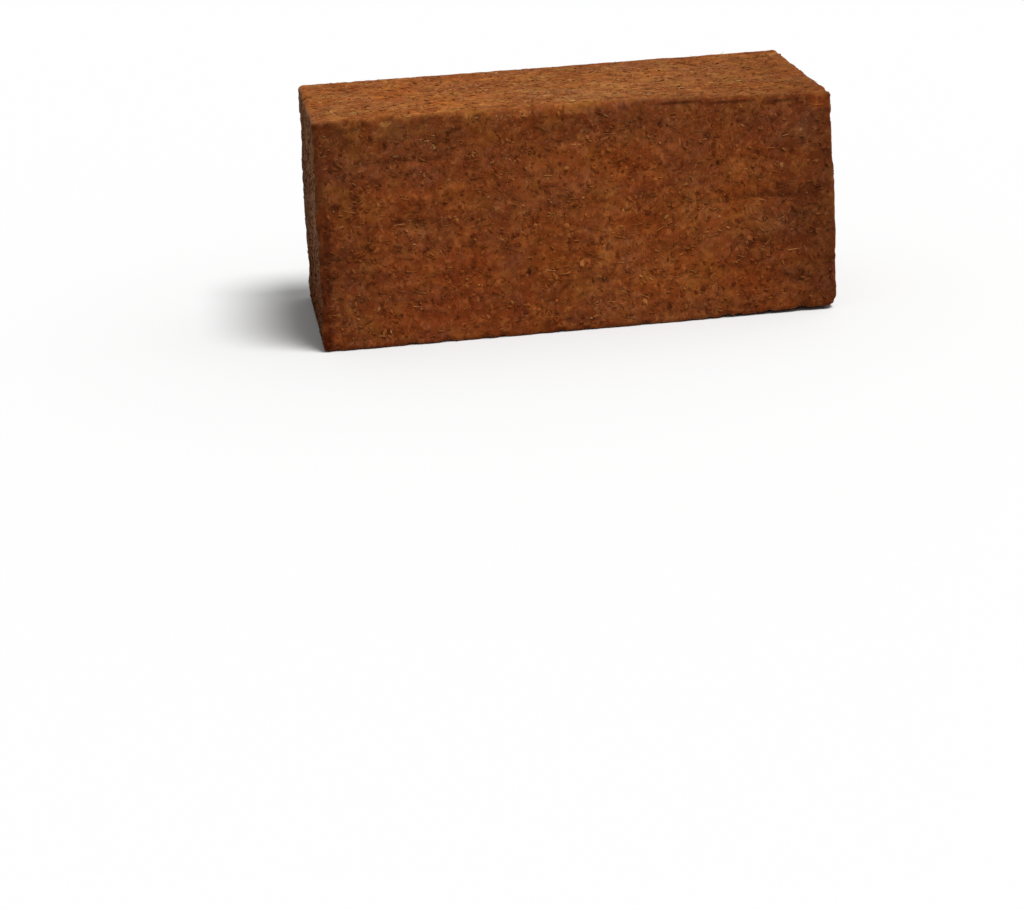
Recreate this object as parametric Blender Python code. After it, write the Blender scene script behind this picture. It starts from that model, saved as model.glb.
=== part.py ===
"""A pressed coconut coir bale: one block of compressed coir pith and short husk fibre.

Metres, +Z up. The origin is the centre of the underside, the length runs along X and the
front wall faces -Y. The press closed along Z, so the top and the underside are flat, and
the four walls show the layers of the press.
"""
import math
import random

import bmesh
import bpy
from mathutils import Matrix, Vector, kdtree, noise

# Driving dimensions of the whole bale
LENGTH = 0.210
DEPTH = 0.092
HEIGHT = 0.092

# Where the pressed block departs from a true box: ends that lean in towards the top as the
# mould does, long walls that swelled when the press opened, a front that leans back at its
# upper left, and a top and a foot that give way at their front right corners
END_DRAFT = 0.0024
END_FOOT = 0.0007
SIDE_BULGE = 0.0008
BULGE_LOW = 0.8
FRONT_LEAN = 0.0013
TOP_DIP = 0.0031
FOOT_LIFT = 0.0014

# Worn edges: the round of a fresh edge, and how much further it has crumbled in places
EDGE_ROUND = 0.0007
EDGE_CRUMBLE = 0.0010
CRUMBLE_WAVE = 0.011
FOOT_WEAR_SHARE = 0.55

# Layers of the press, which stand out from one another a little on the walls
LAYER_HEIGHT = 0.0105
LAYER_STEP = 0.0004
LAYER_WANDER = 0.0022
LAYER_WAVE = 0.055
LEDGE_WIDTH = 0.0024

# Open seams between layers: the wall's way out, the height, and the two ends along the wall
SEAM_DEPTH = 0.0008
SEAM_HALF_WIDTH = 0.0015
SEAM_TAPER = 0.010
FRONT = Vector((0.0, -1.0, 0.0))
BACK = Vector((0.0, 1.0, 0.0))
LEFT = Vector((-1.0, 0.0, 0.0))
RIGHT = Vector((1.0, 0.0, 0.0))
SEAMS = (
    (FRONT, 0.0740, -0.094, -0.048),
    (FRONT, 0.0490, 0.044, 0.098),
    (BACK, 0.0660, -0.080, -0.012),
    (BACK, 0.0520, 0.020, 0.094),
    (BACK, 0.0310, -0.060, 0.030),
    (BACK, 0.0180, 0.040, 0.080),
    (LEFT, 0.0630, -0.034, 0.012),
    (LEFT, 0.0260, -0.006, 0.036),
    (RIGHT, 0.0570, -0.020, 0.040),
    (RIGHT, 0.0360, -0.040, -0.008),
)

# Clumps of pith that swell out of the walls
CLUMP_HEIGHT = 0.0004
CLUMP_WAVE = 0.0085

# Small pits where crumbs have fallen out, on every face but round the middle of the flat ones
PIT_COUNT = 120
PIT_RADIUS = (0.0018, 0.0042)
PIT_DEPTH = (0.0004, 0.0011)
PIT_CLEAR = 0.018

# Small bites along the edges, each a lumpy ball of pith broken away
BITE_SPACING = 0.014
BITE_RADIUS = (0.0010, 0.0026)
BITE_STAND_OFF = 0.1
BITE_LUMPS = 0.30
BITE_GRAIN = 0.0004
GRAIN_WAVE = 0.0032

# Edges that the photo shows straight, with small bites alone and no pit: the axis that an edge
# runs along and its side on each of the next two axes. They are the back and the right one of the top, and
# the right one of the front.
STRAIGHT_EDGES = ((0, 1, 1), (1, 1, 1), (2, 1, -1))
STRAIGHT_SHARE = 0.55

# Larger chips, each a place as shares of half the length, half the depth and half the height
# from the middle of the block, and a radius. Those on the front are the ones the photo shows.
CHIPS = (
    ((-0.87, -1.01, 1.01), 0.0036),
    ((-0.73, -1.01, 1.01), 0.0048),
    ((-0.64, -1.01, 1.01), 0.0030),
    ((0.22, -1.01, 1.01), 0.0030),
    ((1.01, -1.01, 1.01), 0.0024),
    ((-1.01, -1.01, 1.01), 0.0020),
    ((-1.01, -1.01, -0.55), 0.0030),
    ((-1.01, -1.01, -1.01), 0.0036),
    ((1.01, -1.01, -0.20), 0.0022),
    ((1.01, -1.01, -1.01), 0.0040),
    ((1.07, 1.15, -1.16), 0.0185),
    ((1.01, 1.01, 1.01), 0.0026),
    ((-1.01, 1.01, 1.01), 0.0030),
    ((-1.01, 1.01, -1.01), 0.0048),
    ((-1.01, 0.30, 1.01), 0.0044),
    ((1.01, 0.15, -1.01), 0.0040),
    ((0.30, 1.01, -1.01), 0.0050),
)

# The even grid that the relief is worked on, and how it is thinned out
GRID_STEP = 0.0015
TRIANGLES = 9000
PRESS_SNAP = 0.0001
FOLD_ANGLE = math.radians(145)
UNFOLD_PASSES = 5
WELD = 0.000001

SEED = 41

# Pith brown of the walls, as the eye sees it, in sRGB
PITH_COLOUR = (0.47, 0.26, 0.13)
PITH_ROUGHNESS = 0.95

HALF = Vector((LENGTH / 2, DEPTH / 2, HEIGHT / 2))
CENTRE = Vector((0.0, 0.0, HEIGHT / 2))


def smooth_step(low, high, value):
    """Nought below low, one above high, and a smooth rise between."""
    share = min(max((value - low) / (high - low), 0.0), 1.0)
    return share * share * (3.0 - 2.0 * share)


def gridded_box():
    """A closed box of the driving size, cut into even squares."""
    box = bmesh.new()
    cells = [round(2 * side / GRID_STEP) for side in HALF]
    for axis in range(3):
        first, second = (axis + 1) % 3, (axis + 2) % 3
        for side in (-1, 1):
            place = Matrix.Diagonal((0.0, 0.0, 0.0, 1.0))
            place[first][0] = HALF[first]
            place[second][1] = HALF[second]
            place[axis][3] = side * HALF[axis]
            bmesh.ops.create_grid(box, x_segments=cells[first], y_segments=cells[second],
                                  size=1.0, matrix=Matrix.Translation(CENTRE) @ place)
    bmesh.ops.remove_doubles(box, verts=box.verts, dist=GRID_STEP / 10)
    bmesh.ops.recalc_face_normals(box, faces=box.faces)
    return box


def edge_radius(point):
    """The round that wear has given the edge nearest to a point."""
    crumble = noise.noise(point / CRUMBLE_WAVE) + 0.6 * noise.noise(point / (0.37 * CRUMBLE_WAVE))
    share = smooth_step(-0.1, 0.9, crumble)
    foot = 1.0 - smooth_step(0.1 * HEIGHT, 0.4 * HEIGHT, point.z)
    return EDGE_ROUND + EDGE_CRUMBLE * share * (1.0 - foot * (1.0 - FOOT_WEAR_SHARE))


def rounded(point):
    """Draws a point of the box in to the round of its edge. Also gives the way out from it."""
    radius = edge_radius(point)
    from_centre = point - CENTRE
    core = Vector([min(max(place, radius - half), half - radius)
                   for place, half in zip(from_centre, HALF)])
    outward = (from_centre - core).normalized()
    return CENTRE + core + outward * radius, outward


def out_of_square(point):
    """Bends the true box into the drafted, swollen, leaning and dipping one."""
    x, y, z = point
    across, along, up = x / HALF.x, y / HALF.y, min(max(z / HEIGHT, 0.0), 1.0)
    x -= (END_DRAFT * up + END_FOOT * (1.0 - up) ** 6) * across
    y -= SIDE_BULGE * (1.0 - math.sin(math.pi * up ** BULGE_LOW)) * along
    y += FRONT_LEAN * smooth_step(0.3, 1.0, up) * smooth_step(-0.2, 1.0, -across) * max(-along, 0.0)
    right = smooth_step(0.2, 1.0, across)
    z -= TOP_DIP * smooth_step(0.4, 1.0, up) * right * (0.5 - 0.5 * along)
    z += FOOT_LIFT * smooth_step(0.6, 1.0, 1.0 - up) * right * smooth_step(0.0, 1.0, -along)
    return Vector((x, y, z))


def layer_relief(point):
    """How far the layers of the press set a wall back at a point."""
    place = (point.z + LAYER_WANDER * noise.noise(point / LAYER_WAVE)) / LAYER_HEIGHT
    layer = math.floor(place)
    below, above = [noise.cell(Vector((0.5, 0.5, layer + step + 0.5))) for step in (0, 1)]
    rise = smooth_step(1.0 - LEDGE_WIDTH / LAYER_HEIGHT, 1.0, place - layer)
    return LAYER_STEP * (below + (above - below) * rise)


def seam_relief(point, outward):
    """How far the open seams set a wall back at a point."""
    depth = 0.0
    height = point.z + SEAM_HALF_WIDTH * noise.noise(point / CRUMBLE_WAVE)
    for wall, middle, start, end in SEAMS:
        from_middle = abs(height - middle) / SEAM_HALF_WIDTH
        if from_middle > 1.0 or wall.dot(outward) < 0.7:
            continue
        along = point.x if wall.x == 0.0 else point.y
        opened = smooth_step(start, start + SEAM_TAPER, along) * smooth_step(-end, SEAM_TAPER - end, -along)
        depth = max(depth, SEAM_DEPTH * opened * (1.0 - from_middle ** 2))
    return depth


def clump_relief(point):
    """How far the wall lies back between its swollen clumps of pith."""
    broad = noise.noise(point / CLUMP_WAVE)
    fine = noise.noise(point / (0.43 * CLUMP_WAVE))
    return CLUMP_HEIGHT * (0.5 - 0.5 * broad - 0.35 * fine)


def tree_of(spots):
    """Holds spots, each a place and its sizes, so that the few near a point are found at once."""
    tree = kdtree.KDTree(len(spots))
    for index, spot in enumerate(spots):
        tree.insert(spot[0], index)
    tree.balance()
    return tree, spots


def near(tree_and_spots, point, reach):
    """The spots whose places lie within reach of a point."""
    tree, spots = tree_and_spots
    return [spots[index] for _, index, _ in tree.find_range(point, reach)]


def notches_straight_edge(place):
    """Whether a pit at a place would cut into an edge that the photo shows straight."""
    from_centre = place - CENTRE
    for axis, side_a, side_b in STRAIGHT_EDGES:
        first, second = (axis + 1) % 3, (axis + 2) % 3
        inset_a = HALF[first] - side_a * from_centre[first]
        inset_b = HALF[second] - side_b * from_centre[second]
        if math.hypot(inset_a, inset_b) < PIT_RADIUS[1]:
            return True
    return False


def make_pits(draw):
    """Pits scattered over the faces in step with their areas."""
    areas = [HALF[(axis + 1) % 3] * HALF[(axis + 2) % 3] for axis in range(3)]
    pits = []
    while len(pits) < PIT_COUNT:
        axis = draw.choices(range(3), areas)[0]
        place = Vector([draw.uniform(-half, half) for half in HALF])
        place[axis] = draw.choice((-1, 1)) * HALF[axis]
        if axis == 2 and place.xy.length < PIT_CLEAR:
            continue
        pits.append((CENTRE + place, draw.uniform(*PIT_RADIUS), draw.uniform(*PIT_DEPTH)))
    return tree_of([pit for pit in pits if not notches_straight_edge(pit[0])])


def pit_relief(point, pits):
    """How far the pits set a face back at a point."""
    depth = 0.0
    for place, radius, deepest in near(pits, point, PIT_RADIUS[1]):
        share = (point - place).length / radius
        depth = max(depth, deepest * max(1.0 - share ** 2, 0.0) ** 1.5)
    return depth


def make_bites(draw):
    """The larger chips, and small bites at uneven spacing along the rest of all twelve edges.

    Every bite's middle lies just outside the block, so that its wall only ever cuts inwards.
    """
    chips = [(out_of_square(CENTRE + Vector([share * half for share, half in zip(shares, HALF)])), radius)
             for shares, radius in CHIPS]
    bites = list(chips)
    for axis in range(3):
        first, second = (axis + 1) % 3, (axis + 2) % 3
        last = HALF[axis] - 1.5 * BITE_RADIUS[1]
        for side_a, side_b in ((-1, -1), (-1, 1), (1, -1), (1, 1)):
            along = -last + draw.random() * BITE_SPACING
            while along < last:
                radius = draw.uniform(*BITE_RADIUS)
                if (axis, side_a, side_b) in STRAIGHT_EDGES:
                    radius *= STRAIGHT_SHARE
                place = Vector()
                place[axis] = along
                place[first] = side_a * (HALF[first] + BITE_STAND_OFF * radius)
                place[second] = side_b * (HALF[second] + BITE_STAND_OFF * radius)
                place = out_of_square(CENTRE + place)
                if all((place - chip).length > radius + chip_radius for chip, chip_radius in chips):
                    bites.append((place, radius))
                along += draw.uniform(0.4, 1.6) * BITE_SPACING
    return tree_of(bites)


def bitten(point, bites):
    """Pushes a point that lies in a bite out to the bite's lumpy inner wall."""
    reach = max(radius for _, radius in CHIPS) * (1.0 + BITE_LUMPS) + BITE_GRAIN
    for place, radius in near(bites, point, reach):
        away = point - place
        lumps = noise.noise(1.6 * away.normalized() + place / GRAIN_WAVE)
        wall = radius * (1.0 + BITE_LUMPS * lumps) + BITE_GRAIN * noise.noise(point / GRAIN_WAVE)
        if away.length < wall:
            point = place + away.normalized() * wall
    return point


def worked_block():
    """The whole surface on the even grid: a box worn, bent, layered, pitted and chipped."""
    draw = random.Random(SEED)
    pits = make_pits(draw)
    bites = make_bites(draw)
    block = gridded_box()
    for vert in block.verts:
        worn, outward = rounded(vert.co)
        wall = math.hypot(outward.x, outward.y)
        depth = wall * (layer_relief(worn) + clump_relief(worn) + seam_relief(worn, outward))
        depth += pit_relief(worn, pits)
        vert.co = bitten(out_of_square(worn - outward * depth), bites)
    return block


def thin_out(block):
    """Leaves few triangles where the block is flat and many where it is rough."""
    mesh = bpy.data.meshes.new("coir_grid")
    block.to_mesh(mesh)
    grid = bpy.data.objects.new("coir_grid", mesh)
    bpy.context.collection.objects.link(grid)
    thinning = grid.modifiers.new("thinning", "DECIMATE")
    thinning.ratio = TRIANGLES / (2 * len(block.faces))
    thinning.use_collapse_triangulate = True
    block.clear()
    block.from_mesh(grid.evaluated_get(bpy.context.evaluated_depsgraph_get()).to_mesh())
    bpy.data.objects.remove(grid)
    bpy.data.meshes.remove(mesh)


def flatten_press_faces(block):
    """Lays the top and the underside exactly on their planes."""
    for vert in block.verts:
        if vert.co.z < PRESS_SNAP:
            vert.co.z = 0.0
        if vert.co.z > HEIGHT - PRESS_SNAP:
            vert.co.z = HEIGHT


def unfold(block):
    """Takes out the few slivers that the thinning folded back on their neighbours."""
    for _ in range(UNFOLD_PASSES):
        block.normal_update()
        slivers = [min(edge.link_faces, key=lambda face: face.calc_area())
                   for edge in block.edges if edge.calc_face_angle() > FOLD_ANGLE]
        shortest = {min(face.edges, key=lambda edge: edge.calc_length()) for face in slivers}
        bmesh.ops.collapse(block, edges=list(shortest))
        bmesh.ops.dissolve_degenerate(block, dist=WELD, edges=block.edges)
        bmesh.ops.triangulate(block, faces=block.faces)


def fit_to_size(block):
    """Stretches the finished block the last fraction of a millimetre to its driving size."""
    for axis, (low, high) in enumerate(((-HALF.x, HALF.x), (-HALF.y, HALF.y), (0.0, HEIGHT))):
        lowest = min(vert.co[axis] for vert in block.verts)
        highest = max(vert.co[axis] for vert in block.verts)
        for vert in block.verts:
            vert.co[axis] = low + (vert.co[axis] - lowest) * (high - low) / (highest - lowest)


def coir_pith():
    """Pressed coir pith: dull, dry and brown."""
    material = bpy.data.materials.new("coir_pith")
    material.use_nodes = True
    shader = material.node_tree.nodes["Principled BSDF"]
    linear = [((value + 0.055) / 1.055) ** 2.4 for value in PITH_COLOUR]
    shader.inputs["Base Color"].default_value = (*linear, 1.0)
    shader.inputs["Roughness"].default_value = PITH_ROUGHNESS
    shader.inputs["Metallic"].default_value = 0.0
    return material


def build_bale():
    """The bale as one object, its origin at the middle of its underside."""
    block = worked_block()
    thin_out(block)
    flatten_press_faces(block)
    unfold(block)
    fit_to_size(block)
    mesh = bpy.data.meshes.new("coir_block")
    block.to_mesh(mesh)
    block.free()
    mesh.materials.append(coir_pith())
    bpy.context.collection.objects.link(bpy.data.objects.new("coir_block", mesh))


for old in list(bpy.data.objects):
    bpy.data.objects.remove(old, do_unlink=True)
build_bale()
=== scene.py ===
"""The looks of a pressed coconut coir bale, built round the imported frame.

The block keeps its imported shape. Over it come a crumbly skin of pith, crumbs of pith that were
pressed flat into it, the short husk fibres and shreds that the press laid down, paler strands
of husk, loose fibre ends along the edges, and flakes of husk.
"""
import math

import bmesh
import bpy
from mathutils import Matrix, Vector


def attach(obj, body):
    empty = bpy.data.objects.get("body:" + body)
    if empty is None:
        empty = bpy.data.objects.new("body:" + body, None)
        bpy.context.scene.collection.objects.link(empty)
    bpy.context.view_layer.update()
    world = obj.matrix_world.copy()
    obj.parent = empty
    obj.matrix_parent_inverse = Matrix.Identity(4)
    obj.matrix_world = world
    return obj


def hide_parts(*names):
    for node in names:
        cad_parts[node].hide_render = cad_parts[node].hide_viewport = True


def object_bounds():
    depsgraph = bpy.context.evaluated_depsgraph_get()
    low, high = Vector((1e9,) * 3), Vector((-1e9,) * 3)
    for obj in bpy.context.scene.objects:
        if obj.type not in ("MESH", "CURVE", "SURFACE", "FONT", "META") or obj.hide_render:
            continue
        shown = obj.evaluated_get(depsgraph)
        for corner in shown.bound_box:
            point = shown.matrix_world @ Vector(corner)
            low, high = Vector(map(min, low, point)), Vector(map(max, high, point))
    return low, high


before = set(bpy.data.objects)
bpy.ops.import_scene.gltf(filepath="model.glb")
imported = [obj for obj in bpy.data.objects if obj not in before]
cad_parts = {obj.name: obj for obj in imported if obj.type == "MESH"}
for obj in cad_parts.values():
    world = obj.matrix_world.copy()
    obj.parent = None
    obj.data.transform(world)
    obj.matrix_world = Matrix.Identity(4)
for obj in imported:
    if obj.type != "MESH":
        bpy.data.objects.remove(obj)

cad_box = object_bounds()
BLOCK = "coir_block"
MM = 0.001

# The camera in the block's own frame, fitted to the block's corners in the photo
CAMERA_PLACE = Vector((-0.1503, -0.9863, 0.2685))
CAMERA_TURN = math.radians(-7.17)
CAMERA_PITCH = math.radians(18.56)
CAMERA_ROLL = math.radians(3.03)
FOCAL_PX = 2450
PICTURE_PX = 1024
SENSOR_MM = 36.0

# Soft studio light: a surround, brightest overhead and on the right, and a broad key there
SKY_LOW, SKY_HIGH = 0.30, 1.0
SKY_LEFT, SKY_RIGHT = 0.30, 1.30
KEY_STRENGTH = 4.2
KEY_WIDTH = math.radians(24)
KEY_RISE = math.radians(65)
KEY_TURN = math.radians(42)
FLOOR_COLOUR = "#C3C3C3"
FLOOR_ROUGHNESS = 0.9
FLOOR_REACH = 6.0
FLOOR_GAP = 0.1 * MM

# The least that a coordinate may be, which only the height ever meets, at the floor
LEAST_PLACE = (-1.0, -1.0, 0.0)

# The even mesh under the skin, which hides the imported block's facets, and the steps of evening
# that give the smooth block which its edges are measured from
WELD = 0.001 * MM
SKIN_CELL = 1.0 * MM
EVENING_STEPS = 8

# The sizes of each piece, with densities to the square metre and edges in mm of rise
SKIN_SIZES = {"Clump size": 7.0 * MM, "Clump height": 0.30 * MM, "Grain size": 2.4 * MM,
              "Grain height": 0.55 * MM, "Grit size": 1.3 * MM, "Grit height": 0.32 * MM,
              "Press share": 0.8, "Edge least": 0.15 * MM, "Edge gain": 0.85, "Edge calm": 0.4}
CRUMB_SIZES = {"Density": 96000.0, "Least size": 1.2 * MM, "Most size": 3.4 * MM,
               "Sunk": 0.05, "Patch size": 16.0 * MM, "Jag": 0.13, "Edge share": 0.3,
               "Press share": 0.35}
FIBRE_SIZES = {"Density": 30000.0, "Least length": 2.5 * MM, "Most length": 9.0 * MM,
               "Least width": 0.14 * MM, "Most width": 0.28 * MM, "Bend": 4.5 * MM,
               "Least rise": -0.18 * MM, "Most rise": 0.16 * MM, "Levelled": 0.3,
               "Patch size": 30.0 * MM}
SHRED_SIZES = {"Density": 62000.0, "Least length": 1.4 * MM, "Most length": 4.4 * MM,
               "Least width": 0.40 * MM, "Most width": 1.05 * MM, "Bend": 1.6 * MM,
               "Least rise": -0.40 * MM, "Most rise": 0.0, "Levelled": 0.35,
               "Patch size": 40.0 * MM}
PALE_SIZES = {"Density": 8000.0, "Least length": 2.2 * MM, "Most length": 8.5 * MM,
              "Least width": 0.32 * MM, "Most width": 0.66 * MM, "Bend": 5.0 * MM,
              "Least rise": -0.30 * MM, "Most rise": -0.04 * MM, "Levelled": 0.18,
              "Patch size": 26.0 * MM}
END_SIZES = {"Density": 24000.0, "Least length": 1.4 * MM, "Most length": 3.4 * MM,
             "Least width": 0.12 * MM, "Most width": 0.20 * MM, "Bend": 3.0 * MM,
             "Least reach": 0.3 * MM, "Most reach": 1.0 * MM, "Edge": 0.30}
FLECK_SIZES = {"Density": 1300.0, "Least size": 1.4 * MM, "Most size": 3.2 * MM,
               "Sunk": 0.02, "Patch size": 60.0 * MM, "Jag": 0.22, "Edge share": 0.5,
               "Press share": 0.6}

# Where each piece's chance starts, and where in the noise clumps, grit and patches are taken
CRUMB_SEED, FIBRE_SEED, SHRED_SEED, PALE_SEED, END_SEED, FLECK_SEED = 5, 21, 43, 109, 65, 87
CLUMP_START, GRIT_START, PATCH_START = 3.1, 7.7, 11.3

# The skin's grains: how far out a grain's dome falls to nought, and how softly grains meet
DOME_REACH = 0.42
DOME_BLEND = 0.3

# Where an effect starts and where it is full: how level a face is for the press to flatten
# what is on it, and how far in mm an edge stands out for the relief or a grain to shrink
PRESS_FACING = (0.7, 1.0)
SKIN_EDGE = (0.10, 0.45)
GRAIN_EDGE = (0.08, 0.40)

# How strongly strewn things gather in patches, and the share of them that every place has
PATCH_STRENGTH = 2.6
LEAST_SHARE = 0.15

# Grains: the power that leaves few of them large, and the least and the most of their length
# and width as shares of their size. The most of their thickness is a multiple of the least.
FEW_LARGE = 2.4
LEAST_SHAPE = (0.7, 0.35)
MOST_SHAPE = (1.3, 0.8)
MOST_THICKNESS = 1.5
EVERY_WAY = {0: (-1.0, -1.0, -1.0), 1: (1.0, 1.0, 1.0)}

# Strands: their points and sides, how they thin out and dip towards their tips, how much their
# bends differ, and how long a bend is where they lie pressed or stand loose
FIBRE_POINTS = 7
SHRED_POINTS = 4
END_POINTS = 5
STRAND_SIDES = 3
TIP_POWER = 4.0
TIP_THINNING = 0.65
TIP_DIP = 0.5 * MM
STRAND_DRIFT = 0.37
PRESSED_RIPPLE = 9.0 * MM
LOOSE_RIPPLE = 4.0 * MM

# The map of each piece's bake. Grains and strands have a small cell each, in columns, with a
# margin as a share of the cell.
BAKE_MAP = "OFBake"
CELL_COLUMNS = 24
CELL_MARGIN = 0.08

# The sheet of the skin's bake: each row holds one long face, and two rows an end beside it
HALF_LENGTH, HALF_DEPTH, HALF_HEIGHT = [(high - low) / 2 for low, high in zip(*cad_box)]
SHEET_ROWS = 4
SHEET_ROW = 98 * MM
SHEET_GAP = 4 * MM

# How dry coir takes the light: matt all over
SKIN_ROUGHNESS = 0.95
LOOSE_ROUGHNESS = 0.9
DRY_SPECULAR = 0.06
DRY_DIFFUSE_ROUGHNESS = 0.8
BUMP_STRENGTH = 0.6
BUMP_DEPTH = 0.25 * MM

# The sizes of the noise that the colours follow
BROAD_SIZE = 34 * MM
UNEVEN_SIZE = 14 * MM
HUE_SIZE = 9 * MM
HUE_START = 4.0
MOTTLE_SIZE = 4.0 * MM
WARP_SIZE = 2.6 * MM
WARP_REACH = 2.2 * MM
BLOTCH_SIZE = 2.2 * MM
BLOTCH_GAINS = (0.75, 1.2)
FINE_SIZE = 0.8 * MM

# The pith's own tone, and the tones under the felt of shreds and over it: the measure that
# brings each out, where it starts and is full, its share there, itself
PITH_STOPS = ((0.30, "#642B0F"), (0.72, "#793C19"), (0.5, "#6F3413"))
UNDER_TONES = (("hue", 0.51, 0.66, 0.50, "#86501F"),
               ("hue", 0.47, 0.32, 0.50, "#64280E"),
               ("red", 0.52, 0.70, 0.50, "#8E5126"),
               ("green", 0.54, 0.70, 0.40, "#824A2D"),
               ("blue", 0.47, 0.32, 0.45, "#482009"))
OVER_TONES = (("fine", 0.44, 0.30, 0.20, "#3B1908"),
              ("fine", 0.58, 0.72, 0.25, "#985F32"),
              # Painted shade: darker where the relief sinks, and in pits and seams
              ("relief", 0.0, -0.35, 0.30, "#3B1908"),
              ("rise", -0.05, -0.45, 0.6, "#2A1106"),
              # A painted highlight on the brows of edges
              ("highlit_brow", 0.50, 0.90, 0.35, "#915C30"))

# The shreds that the eye sees in the felt: how each lot lies, its length and its width. Then
# where a shred fades, which of them show, how strongly, and their tones.
FELT = (((20, 35, 60), 3.4 * MM, 1.1 * MM), ((-35, -50, 15), 2.8 * MM, 0.9 * MM),
        ((75, 80, -40), 3.0 * MM, 1.3 * MM))
FELT_FADE = (0.62, 0.30)
FELT_LEAST = 0.45
FELT_MOST = 0.55
FELT_STOPS = ((0.0, "#481F08"), (1.0, "#996134"), (0.3, "#5D2A0D"), (0.65, "#7E421B"),
              (0.85, "#89502C"))

# The tints that single crumbs, fibres, pale strands and flakes take
CRUMB_STOPS = ((0.0, "#52240B"), (1.0, "#88562B"), (0.25, "#662D0F"), (0.7, "#763D19"),
               (0.94, "#7F4822"))
FIBRE_STOPS = ((0.0, "#5E2C0E"), (1.0, "#916237"), (0.5, "#723B16"), (0.9, "#814E26"))
PALE_STOPS = ((0.0, "#7E451D"), (1.0, "#996238"))
FLAKE_STOPS = ((0.0, "#72421D"), (1.0, "#946B3D"))

# How far a place faces up to start to count, and to count in full, as an edge's brow, which takes a painted
# highlight, or as the top, and how far it faces an end to count as that
HIGHLIT_BROW_FACING = (0.15, 0.45)
TOP_FACING = (0.50, 0.78)
END_FACING = (0.55, 0.85)

# Gains of red, green and blue on top, dried out and dusty and with painted light, and on the greyer ends
TOP_DUST_AND_PAINTED_LIGHT = (1.07, 1.34, 1.36)
GREYER_ENDS = (1.02, 1.58, 2.75)

# Patches of pith, paler and darker ones and then greyer and ruddier ones, wider than they are
# high: the size of each kind in mm, how noise brings it out, and its gain
PATCHES = (((6.0, 6.0, 4.0), 0.50, 0.72, (1.22, 1.27, 1.36)),
           ((6.0, 6.0, 4.0), 0.50, 0.28, (0.82, 0.77, 0.68)),
           ((22.0, 18.0, 14.0), 0.48, 0.68, (0.96, 1.02, 1.26)),
           ((22.0, 18.0, 14.0), 0.52, 0.32, (1.04, 0.96, 0.76)))

# Broad shifts of shade on the walls and on top: where each is in mm, how far it reaches, its
# gain. Noise makes their outlines ragged, and they fade out between two shares of their reach.
SHIFT_RAGGED = 0.9
SHIFT_FADE = (1.45, 0.85)
WALL_SHIFTS = (
    # The front's right and left ends in shade, and its dark left edge
    ((105, -46, 46), (29, 30, 80), (0.67, 0.68, 0.75)),
    ((-105, -46, 60), (26, 12, 62), (0.84, 0.87, 0.92)),
    ((-102.5, -46, 50), (4.0, 5, 150), (0.58, 0.50, 0.46)),
    # The left end: pale by the front, dark by the back. Both ends are ruddy at the foot.
    ((-105, -32, 52), (6, 26, 38), (1.26, 1.28, 1.30)),
    ((-105, 40, 50), (6, 40, 60), (0.74, 0.74, 0.72)),
    ((-105, -10, 0), (6, 90, 44), (0.80, 0.62, 0.42)),
    ((105, 10, 4), (6, 90, 40), (0.86, 0.72, 0.52)),
    # The front: greyer at the upper left, lighter in the middle and greyer above that, darker
    # low on the right, ruddier low on the left
    ((-70, -46, 92), (50, 8, 22), (0.90, 0.99, 1.08)),
    ((25, -46, 36), (60, 20, 48), (1.17, 1.17, 1.03)),
    ((20, -46, 82), (85, 8, 16), (1.0, 1.05, 1.13)),
    ((68, -46, 18), (22, 10, 28), (0.92, 0.85, 0.80)),
    ((-50, -46, 14), (40, 20, 32), (1.07, 0.98, 0.98)),
    # The front's top edge: painted shade under it on the left with two painted shadows in its notches, a
    # painted highlight in the middle, and a painted shaded line under it from there to the right
    ((-88, -46, 90), (28, 5, 3.6), (0.82, 0.72, 0.56)),
    ((-91, -46, 90.8), (5, 3, 1.6), (0.72, 0.66, 0.60)),
    ((-76, -46, 90.6), (8, 3, 2.0), (0.62, 0.54, 0.50)),
    ((-12, -46, 91), (46, 6, 3.6), (1.42, 1.58, 1.60)),
    ((2, -46, 87.2), (22, 3, 1.5), (0.80, 0.73, 0.60)),
    ((40, -46, 89.4), (16, 3, 1.1), (0.50, 0.44, 0.42)),
    ((64, -46, 88.2), (16, 3, 1.1), (0.50, 0.44, 0.42)),
    ((86, -46, 87.2), (12, 3, 1.1), (0.55, 0.50, 0.48)),
    # Pale places by the front's upper right corner
    ((98, -46, 86), (6, 5, 4.5), (1.50, 1.44, 1.24)),
    ((92, -46, 73), (5, 5, 11), (1.08, 1.30, 1.60)))
TOP_SHIFTS = (
    # The top: duller on the right, paler in the middle, warmer on the left
    ((105, -16, 92), (52, 70, 8), (0.80, 0.77, 0.77)),
    ((6, -14, 92), (38, 30, 8), (1.08, 1.18, 1.32)),
    ((-52, 0, 92), (42, 50, 8), (1.09, 1.04, 0.99)),
    # Its front edge: dull on the left with two painted shadows in its notches, and a painted highlight in
    # the middle
    ((-82, -46, 91.4), (20, 2.4, 4), (0.76, 0.68, 0.58)),
    ((-90, -46, 91), (4, 3, 3), (0.72, 0.64, 0.56)),
    ((-76, -46, 91), (5, 3.5, 3), (0.60, 0.52, 0.46)),
    ((-4, -44, 92), (40, 3.5, 8), (1.18, 1.20, 1.15)))


def linear(hex_colour):
    """An sRGB hex colour as linear red, green, blue and alpha."""
    values = [int(hex_colour[place:place + 2], 16) / 255 for place in (1, 3, 5)]
    return [v / 12.92 if v <= 0.04045 else ((v + 0.055) / 1.055) ** 2.4 for v in values] + [1.0]


def in_metres(millimetres):
    """Measures in millimetres as metres."""
    return [value * MM for value in millimetres]


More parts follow.
